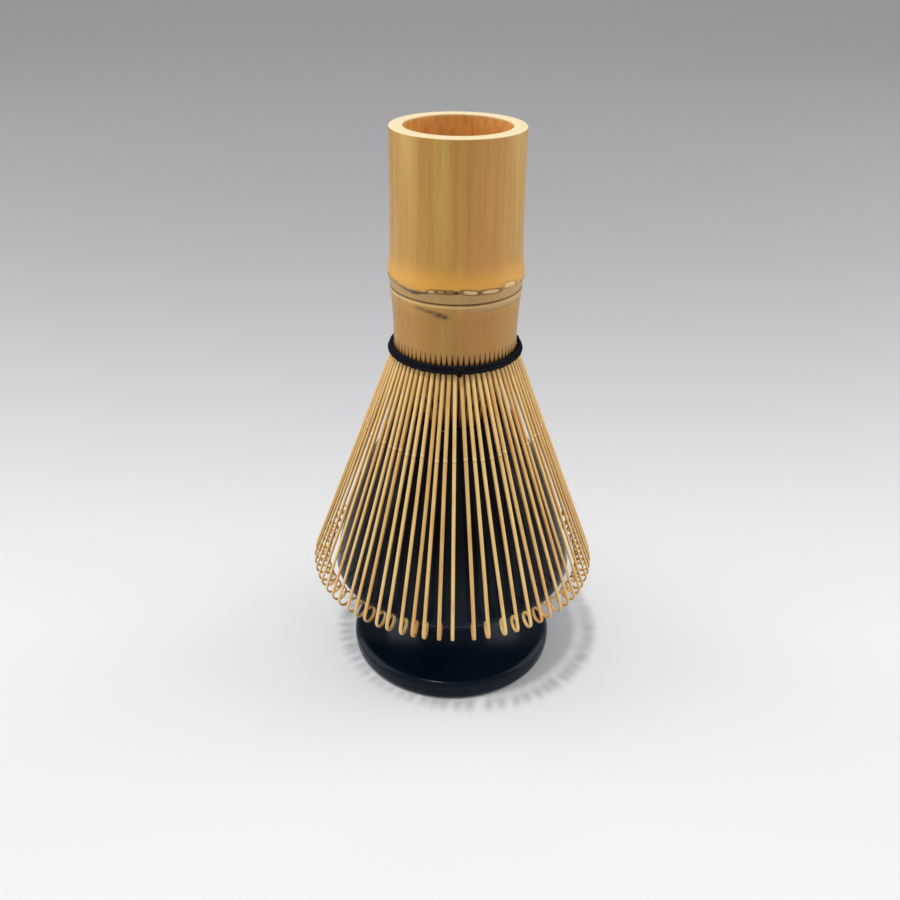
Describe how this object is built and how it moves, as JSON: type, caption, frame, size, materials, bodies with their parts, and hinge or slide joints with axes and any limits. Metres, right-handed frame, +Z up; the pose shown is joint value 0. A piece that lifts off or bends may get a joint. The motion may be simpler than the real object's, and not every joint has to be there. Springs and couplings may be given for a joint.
{
  "type": "bamboo tea whisk on stand",
  "caption": "Split-bamboo tea whisk with an outer and an inner ring of fine tines, bound with dark thread and resting on a hollow glazed ceramic shaping stand.",
  "frame": {"origin": "centre of the stand's foot, on the surface that it stands on", "axes": "+Z up along the axis of the whisk and stand; -Y towards the thread's knot"},
  "size_m": [0.0664, 0.0664, 0.1258],
  "materials": {
    "glaze": "gloss black",
    "culm": "bare bamboo skin, satin",
    "outer_tine": "bare split bamboo, satin",
    "inner_tine": "bare split bamboo, matte",
    "thread": "twisted cotton thread"
  },
  "bodies": {
    "stand": {"stand": "glaze"},
    "whisk": {"handle": "culm", "binding_thread": "thread", "spacer_thread": "thread"},
    "outer_01": {"outer_tines_01": "outer_tine"},
    "outer_02": {"outer_tines_02": "outer_tine"},
    "outer_03": {"outer_tines_03": "outer_tine"},
    "outer_04": {"outer_tines_04": "outer_tine"},
    "outer_05": {"outer_tines_05": "outer_tine"},
    "outer_06": {"outer_tines_06": "outer_tine"},
    "outer_07": {"outer_tines_07": "outer_tine"},
    "outer_08": {"outer_tines_08": "outer_tine"},
    "outer_09": {"outer_tines_09": "outer_tine"},
    "outer_10": {"outer_tines_10": "outer_tine"},
    "outer_11": {"outer_tines_11": "outer_tine"},
    "outer_12": {"outer_tines_12": "outer_tine"},
    "inner_01": {"inner_tines_01": "inner_tine"},
    "inner_02": {"inner_tines_02": "inner_tine"},
    "inner_03": {"inner_tines_03": "inner_tine"},
    "inner_04": {"inner_tines_04": "inner_tine"},
    "inner_05": {"inner_tines_05": "inner_tine"},
    "inner_06": {"inner_tines_06": "inner_tine"},
    "inner_07": {"inner_tines_07": "inner_tine"},
    "inner_08": {"inner_tines_08": "inner_tine"},
    "inner_09": {"inner_tines_09": "inner_tine"},
    "inner_10": {"inner_tines_10": "inner_tine"},
    "inner_11": {"inner_tines_11": "inner_tine"},
    "inner_12": {"inner_tines_12": "inner_tine"}
  },
  "joints": [
    {"name": "whisk_lift", "type": "slide", "parent": "stand", "child": "whisk", "axis": [0, 0, 1], "range_m": [0, 0.06]},
    {"name": "outer_flex_01", "type": "hinge", "parent": "whisk", "child": "outer_01", "pos_m": [0.00276, -0.01245, 0.0803], "axis": [-0.9763, -0.2164, 0], "range_deg": [-0.5, 6], "stiffness_Nm_per_rad": 0.005},
    {"name": "outer_flex_02", "type": "hinge", "parent": "whisk", "child": "outer_02", "pos_m": [0.00861, -0.0094, 0.0803], "axis": [-0.7373, -0.6756, 0], "range_deg": [-0.5, 6], "stiffness_Nm_per_rad": 0.005},
    {"name": "outer_flex_03", "type": "hinge", "parent": "whisk", "child": "outer_03", "pos_m": [0.01216, -0.00383, 0.0803], "axis": [-0.3007, -0.9537, 0], "range_deg": [-0.5, 6], "stiffness_Nm_per_rad": 0.005},
    {"name": "outer_flex_04", "type": "hinge", "parent": "whisk", "child": "outer_04", "pos_m": [0.01245, 0.00276, 0.0803], "axis": [0.2164, -0.9763, 0], "range_deg": [-0.5, 6], "stiffness_Nm_per_rad": 0.005},
    {"name": "outer_flex_05", "type": "hinge", "parent": "whisk", "child": "outer_05", "pos_m": [0.0094, 0.00861, 0.0803], "axis": [0.6756, -0.7373, 0], "range_deg": [-0.5, 6], "stiffness_Nm_per_rad": 0.005},
    {"name": "outer_flex_06", "type": "hinge", "parent": "whisk", "child": "outer_06", "pos_m": [0.00383, 0.01216, 0.0803], "axis": [0.9537, -0.3007, 0], "range_deg": [-0.5, 6], "stiffness_Nm_per_rad": 0.005},
    {"name": "outer_flex_07", "type": "hinge", "parent": "whisk", "child": "outer_07", "pos_m": [-0.00276, 0.01245, 0.0803], "axis": [0.9763, 0.2164, 0], "range_deg": [-0.5, 6], "stiffness_Nm_per_rad": 0.005},
    {"name": "outer_flex_08", "type": "hinge", "parent": "whisk", "child": "outer_08", "pos_m": [-0.00861, 0.0094, 0.0803], "axis": [0.7373, 0.6756, 0], "range_deg": [-0.5, 6], "stiffness_Nm_per_rad": 0.005},
    {"name": "outer_flex_09", "type": "hinge", "parent": "whisk", "child": "outer_09", "pos_m": [-0.01216, 0.00383, 0.0803], "axis": [0.3007, 0.9537, 0], "range_deg": [-0.5, 6], "stiffness_Nm_per_rad": 0.005},
    {"name": "outer_flex_10", "type": "hinge", "parent": "whisk", "child": "outer_10", "pos_m": [-0.01245, -0.00276, 0.0803], "axis": [-0.2164, 0.9763, 0], "range_deg": [-0.5, 6], "stiffness_Nm_per_rad": 0.005},
    {"name": "outer_flex_11", "type": "hinge", "parent": "whisk", "child": "outer_11", "pos_m": [-0.0094, -0.00861, 0.0803], "axis": [-0.6756, 0.7373, 0], "range_deg": [-0.5, 6], "stiffness_Nm_per_rad": 0.005},
    {"name": "outer_flex_12", "type": "hinge", "parent": "whisk", "child": "outer_12", "pos_m": [-0.00383, -0.01216, 0.0803], "axis": [-0.9537, 0.3007, 0], "range_deg": [-0.5, 6], "stiffness_Nm_per_rad": 0.005},
    {"name": "inner_flex_01", "type": "hinge", "parent": "whisk", "child": "inner_01", "pos_m": [0.00298, -0.01111, 0.0803], "axis": [-0.9659, -0.2588, 0], "range_deg": [-0.25, 2], "stiffness_Nm_per_rad": 0.001},
    {"name": "inner_flex_02", "type": "hinge", "parent": "whisk", "child": "inner_02", "pos_m": [0.00813, -0.00813, 0.0803], "axis": [-0.7071, -0.7071, 0], "range_deg": [-0.25, 2], "stiffness_Nm_per_rad": 0.001},
    {"name": "inner_flex_03", "type": "hinge", "parent": "whisk", "child": "inner_03", "pos_m": [0.01111, -0.00298, 0.0803], "axis": [-0.2588, -0.9659, 0], "range_deg": [-0.25, 2], "stiffness_Nm_per_rad": 0.001},
    {"name": "inner_flex_04", "type": "hinge", "parent": "whisk", "child": "inner_04", "pos_m": [0.01111, 0.00298, 0.0803], "axis": [0.2588, -0.9659, 0], "range_deg": [-0.25, 2], "stiffness_Nm_per_rad": 0.001},
    {"name": "inner_flex_05", "type": "hinge", "parent": "whisk", "child": "inner_05", "pos_m": [0.00813, 0.00813, 0.0803], "axis": [0.7071, -0.7071, 0], "range_deg": [-0.25, 2], "stiffness_Nm_per_rad": 0.001},
    {"name": "inner_flex_06", "type": "hinge", "parent": "whisk", "child": "inner_06", "pos_m": [0.00298, 0.01111, 0.0803], "axis": [0.9659, -0.2588, 0], "range_deg": [-0.25, 2], "stiffness_Nm_per_rad": 0.001},
    {"name": "inner_flex_07", "type": "hinge", "parent": "whisk", "child": "inner_07", "pos_m": [-0.00298, 0.01111, 0.0803], "axis": [0.9659, 0.2588, 0], "range_deg": [-0.25, 2], "stiffness_Nm_per_rad": 0.001},
    {"name": "inner_flex_08", "type": "hinge", "parent": "whisk", "child": "inner_08", "pos_m": [-0.00813, 0.00813, 0.0803], "axis": [0.7071, 0.7071, 0], "range_deg": [-0.25, 2], "stiffness_Nm_per_rad": 0.001},
    {"name": "inner_flex_09", "type": "hinge", "parent": "whisk", "child": "inner_09", "pos_m": [-0.01111, 0.00298, 0.0803], "axis": [0.2588, 0.9659, 0], "range_deg": [-0.25, 2], "stiffness_Nm_per_rad": 0.001},
    {"name": "inner_flex_10", "type": "hinge", "parent": "whisk", "child": "inner_10", "pos_m": [-0.01111, -0.00298, 0.0803], "axis": [-0.2588, 0.9659, 0], "range_deg": [-0.25, 2], "stiffness_Nm_per_rad": 0.001},
    {"name": "inner_flex_11", "type": "hinge", "parent": "whisk", "child": "inner_11", "pos_m": [-0.00813, -0.00813, 0.0803], "axis": [-0.7071, 0.7071, 0], "range_deg": [-0.25, 2], "stiffness_Nm_per_rad": 0.001},
    {"name": "inner_flex_12", "type": "hinge", "parent": "whisk", "child": "inner_12", "pos_m": [-0.00298, -0.01111, 0.0803], "axis": [-0.9659, 0.2588, 0], "range_deg": [-0.25, 2], "stiffness_Nm_per_rad": 0.001}
  ]
}
